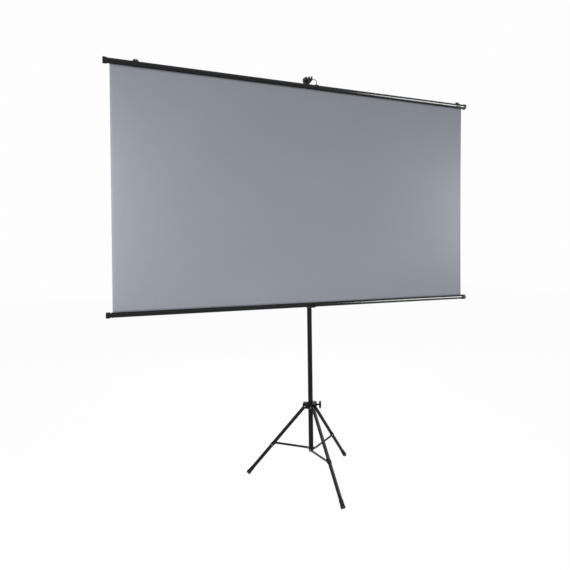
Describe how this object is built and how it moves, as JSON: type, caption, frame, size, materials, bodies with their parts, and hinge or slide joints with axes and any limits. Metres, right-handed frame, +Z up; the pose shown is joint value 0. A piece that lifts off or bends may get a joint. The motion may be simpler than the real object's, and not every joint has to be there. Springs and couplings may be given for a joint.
{
  "type": "tripod_projection_screen",
  "caption": "Portable projection screen: flat grey fabric between a thin top slat and a wound roller, hung from a toothed hook on a telescopic mast with a folding tripod base.",
  "frame": {"origin": "on the floor under the middle of the object's box", "axes": "+Z up, the screen faces -Y, +X along the slat to the right seen from the front"},
  "size_m": [2.28, 0.5984, 2.3888],
  "materials": {
    "black_steel": "satin black powder coat",
    "black_aluminium": "satin black anodised",
    "black_plastic": "fine grained black moulding",
    "black_rubber": "matt",
    "bright_steel": "zinc plated, satin",
    "screen_fabric": "flat grey woven projection fabric"
  },
  "bodies": {
    "column": {"column_tube": "black_steel", "hub": "black_steel", "hub_rivets": "bright_steel", "mast_clamp": "black_plastic", "guide_bush": "black_plastic", "saddle_bracket": "black_plastic", "saddle_bolt": "bright_steel", "saddle_nut": "bright_steel", "screen_fabric": "screen_fabric"},
    "collar": {"leg_collar": "black_plastic", "leg_rivets": "bright_steel"},
    "collar_knob": {"collar_knob": "black_plastic", "collar_stud": "bright_steel"},
    "mast": {"mast_tube": "black_steel", "mast_shoe": "black_plastic", "hook_head": "black_plastic", "hook_pin": "bright_steel"},
    "mast_knob": {"mast_knob": "black_plastic", "mast_stud": "bright_steel"},
    "top_bar": {"top_slat": "black_aluminium", "top_cap_left": "black_plastic", "top_cap_right": "black_plastic", "hem_rod": "black_plastic", "bail": "black_steel", "bail_ears": "black_steel", "bail_screws": "bright_steel"},
    "clip_left": {"hanging_clip_left": "black_plastic"},
    "clip_right": {"hanging_clip_right": "black_plastic"},
    "roller": {"roller_tube": "black_aluminium", "roller_knob_left": "black_plastic", "roller_knob_right": "black_plastic", "roller_rod": "black_plastic"},
    "leg_front": {"front_leg_tube": "black_steel", "front_leg_plug": "black_plastic", "front_foot": "black_rubber", "front_strut_clip": "black_steel", "front_clip_rivet": "bright_steel"},
    "strut_front": {"front_strut": "black_steel", "front_strut_rivet": "bright_steel"},
    "leg_right": {"right_leg_tube": "black_steel", "right_leg_plug": "black_plastic", "right_foot": "black_rubber", "right_strut_clip": "black_steel", "right_clip_rivet": "bright_steel"},
    "strut_right": {"right_strut": "black_steel", "right_strut_rivet": "bright_steel"},
    "leg_left": {"left_leg_tube": "black_steel", "left_leg_plug": "black_plastic", "left_foot": "black_rubber", "left_strut_clip": "black_steel", "left_clip_rivet": "bright_steel"},
    "strut_left": {"left_strut": "black_steel", "left_strut_rivet": "bright_steel"}
  },
  "joints": [
    {"name": "collar_slide", "type": "slide", "parent": "column", "child": "collar", "axis": [0, 0, 1], "range_m": [0, 0.2452]},
    {"name": "collar_knob_turn", "type": "hinge", "parent": "collar", "child": "collar_knob", "pos_m": [0.02858, 0.07842, 0.436], "axis": [0.866, -0.5, 0], "continuous": true},
    {"name": "mast_slide", "type": "slide", "parent": "column", "child": "mast", "axis": [0, 0, -1], "range_m": [0, 0.96], "deforming": ["screen_fabric"]},
    {"name": "mast_knob_turn", "type": "hinge", "parent": "column", "child": "mast_knob", "pos_m": [0, 0.12793, 1.333], "axis": [0, 1, 0], "continuous": true},
    {"name": "top_bar_rock", "type": "hinge", "parent": "mast", "child": "top_bar", "pos_m": [0, 0.03492, 2.349], "axis": [1, 0, 0], "range_deg": [-5, 5]},
    {"name": "clip_left_slide", "type": "slide", "parent": "top_bar", "child": "clip_left", "axis": [1, 0, 0], "range_m": [-0.1, 0.88]},
    {"name": "clip_right_slide", "type": "slide", "parent": "top_bar", "child": "clip_right", "axis": [1, 0, 0], "range_m": [-0.97, 0.02]},
    {"name": "roller_wind", "type": "hinge", "parent": "column", "child": "roller", "pos_m": [0, 0.06092, 1.032], "axis": [1, 0, 0], "range_deg": [0, 4232.1]},
    {"name": "leg_front_fold", "type": "hinge", "parent": "collar", "child": "leg_front", "pos_m": [0, 0.06192, 0.425], "axis": [1, 0, 0], "range_deg": [0, 40.05]},
    {"name": "strut_front_fold", "type": "hinge", "parent": "column", "child": "strut_front", "pos_m": [0, 0.07692, 0.172], "axis": [-1, 0, 0], "range_deg": [0, 83]},
    {"name": "leg_right_fold", "type": "hinge", "parent": "collar", "child": "leg_right", "pos_m": [0.02858, 0.11143, 0.425], "axis": [-0.5, 0.866, 0], "range_deg": [0, 40.05]},
    {"name": "strut_right_fold", "type": "hinge", "parent": "column", "child": "strut_right", "pos_m": [0.01559, 0.10393, 0.172], "axis": [0.5, -0.866, 0], "range_deg": [0, 83]},
    {"name": "leg_left_fold", "type": "hinge", "parent": "collar", "child": "leg_left", "pos_m": [-0.02858, 0.11143, 0.425], "axis": [-0.5, -0.866, 0], "range_deg": [0, 40.05]},
    {"name": "strut_left_fold", "type": "hinge", "parent": "column", "child": "strut_left", "pos_m": [-0.01559, 0.10393, 0.172], "axis": [0.5, 0.866, 0], "range_deg": [0, 83]}
  ],
  "couplings": [
    {"joint": "roller_wind", "follows": "mast_slide", "rad_per_m": 76.923},
    {"joint": "leg_front_fold", "follows": "collar_slide", "rad_per_m": 2.8431},
    {"joint": "strut_front_fold", "follows": "collar_slide", "rad_per_m": 5.8999},
    {"joint": "leg_right_fold", "follows": "collar_slide", "rad_per_m": 2.8431},
    {"joint": "strut_right_fold", "follows": "collar_slide", "rad_per_m": 5.8999},
    {"joint": "leg_left_fold", "follows": "collar_slide", "rad_per_m": 2.8431},
    {"joint": "strut_left_fold", "follows": "collar_slide", "rad_per_m": 5.8999}
  ]
}
